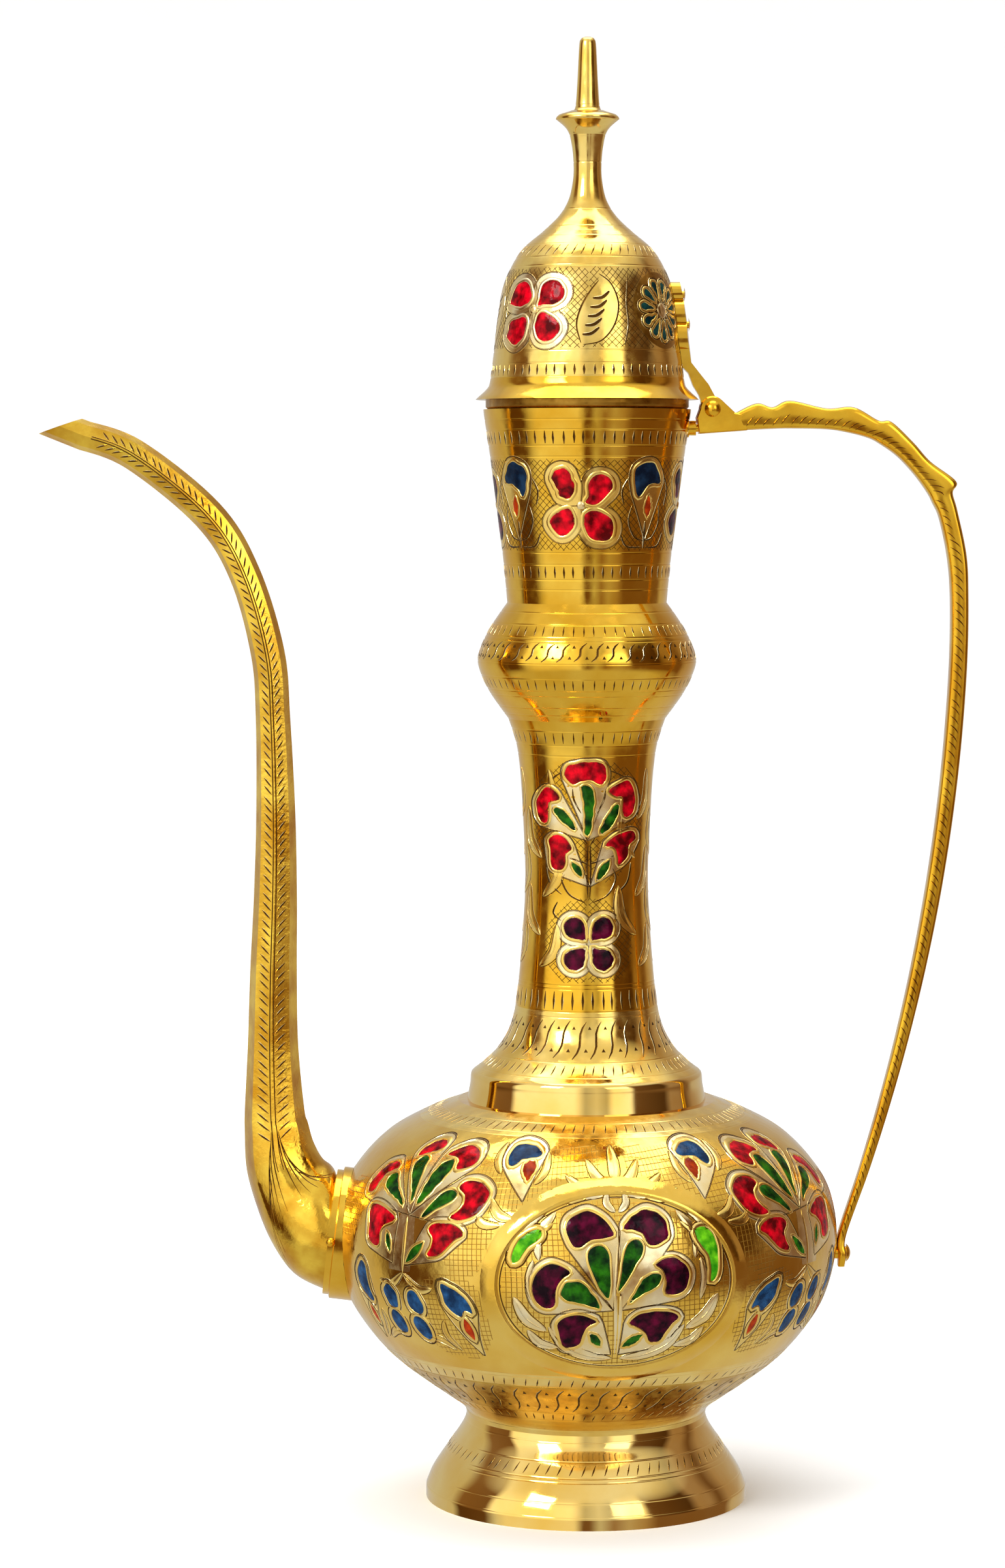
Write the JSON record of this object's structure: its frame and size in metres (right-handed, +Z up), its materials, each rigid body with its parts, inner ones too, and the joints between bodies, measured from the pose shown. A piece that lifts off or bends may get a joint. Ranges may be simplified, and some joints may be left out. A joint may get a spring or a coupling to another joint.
{
  "type": "ewer",
  "caption": "Tall brass ewer with a hinged domed lid, a slender S-curved spout, a cast scroll handle and enamelled floral panels, for pouring water.",
  "frame": {"origin": "centre of the foot ring's underside, where the ewer stands", "axes": "+Z up along the turned body's axis, -X towards the spout, +X towards the handle, -Y the front panel"},
  "size_m": [0.241, 0.1319, 0.38],
  "materials": {
    "spun_brass": "polished and engraved",
    "cast_brass": "polished cast brass",
    "red_enamel": "gloss fired enamel",
    "teal_enamel": "gloss fired enamel",
    "purple_enamel": "gloss fired enamel",
    "blue_enamel": "gloss fired enamel",
    "orange_enamel": "gloss fired enamel",
    "green_enamel": "gloss fired enamel",
    "lime_enamel": "gloss fired enamel"
  },
  "bodies": {
    "vessel": {"foot_ring": "spun_brass", "belly": "spun_brass", "neck_tube": "spun_brass", "neck_knop": "spun_brass", "mouth_cup": "spun_brass", "hinge_pin": "cast_brass", "handle": "cast_brass", "handle_lug": "cast_brass", "handle_rivet": "cast_brass", "spout": "spun_brass", "spout_flange": "spun_brass", "spout_pin": "cast_brass", "cup_red_enamel": "red_enamel", "cup_purple_enamel": "purple_enamel", "cup_blue_enamel": "blue_enamel", "cup_orange_enamel": "orange_enamel", "neck_red_enamel": "red_enamel", "neck_green_enamel": "green_enamel", "neck_purple_enamel": "purple_enamel", "belly_purple_enamel": "purple_enamel", "belly_green_enamel": "green_enamel", "belly_lime_enamel": "lime_enamel", "belly_red_enamel": "red_enamel", "belly_blue_enamel": "blue_enamel", "belly_orange_enamel": "orange_enamel"},
    "lid": {"lid_skirt": "spun_brass", "lid_dome": "spun_brass", "lid_finial": "spun_brass", "lid_strap": "cast_brass", "strap_rivets": "cast_brass", "lid_red_enamel": "red_enamel", "lid_teal_enamel": "teal_enamel"}
  },
  "joints": [
    {"name": "lid_hinge", "type": "hinge", "parent": "vessel", "child": "lid", "pos_m": [0.0323, 0, 0.2846], "axis": [0, 1, 0], "range_deg": [0, 90]}
  ]
}
